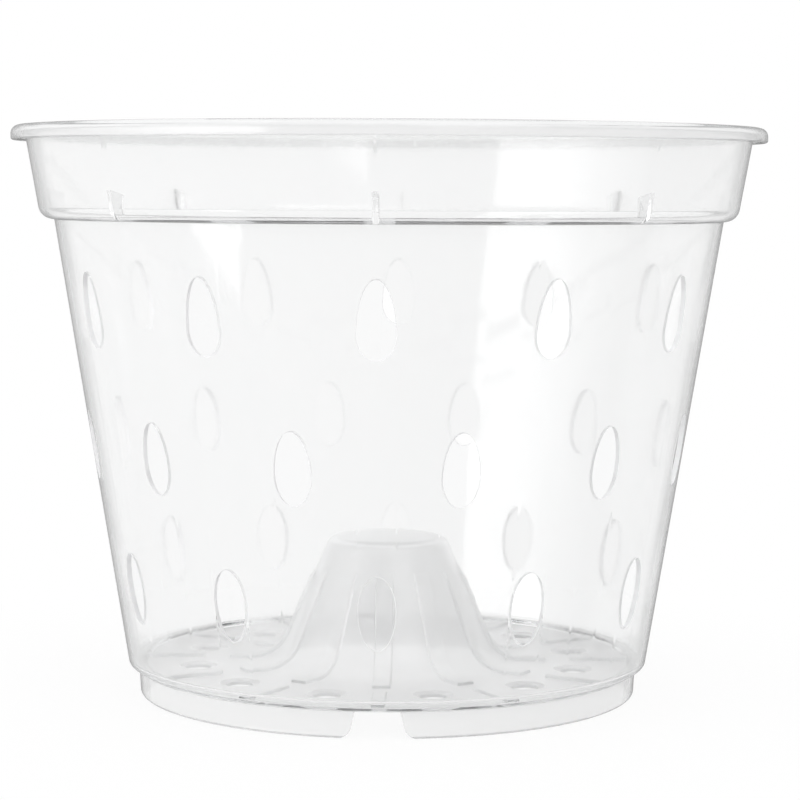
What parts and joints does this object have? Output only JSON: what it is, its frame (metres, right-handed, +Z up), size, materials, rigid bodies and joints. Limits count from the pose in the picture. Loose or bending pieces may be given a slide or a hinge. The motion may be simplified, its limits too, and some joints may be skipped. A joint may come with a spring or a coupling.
{
  "type": "orchid pot",
  "caption": "Clear tapered pot with a stepped collar, staggered egg-shaped air holes in the wall, a hollow ribbed cone on a drained floor, and a notched foot ring.",
  "frame": {"origin": "centre of the foot ring's base, on the surface the pot stands on", "axes": "+Z up along the pot's axis of turning; -Y is the front, with one foot notch in the middle of it; +X is to the right seen from the front"},
  "size_m": [0.18, 0.18, 0.136],
  "materials": {
    "clear_plastic": "clear, smooth, glossy moulded plastic with a faint grey tint"
  },
  "bodies": {
    "root": {"pot": "clear_plastic"}
  },
  "joints": []
}
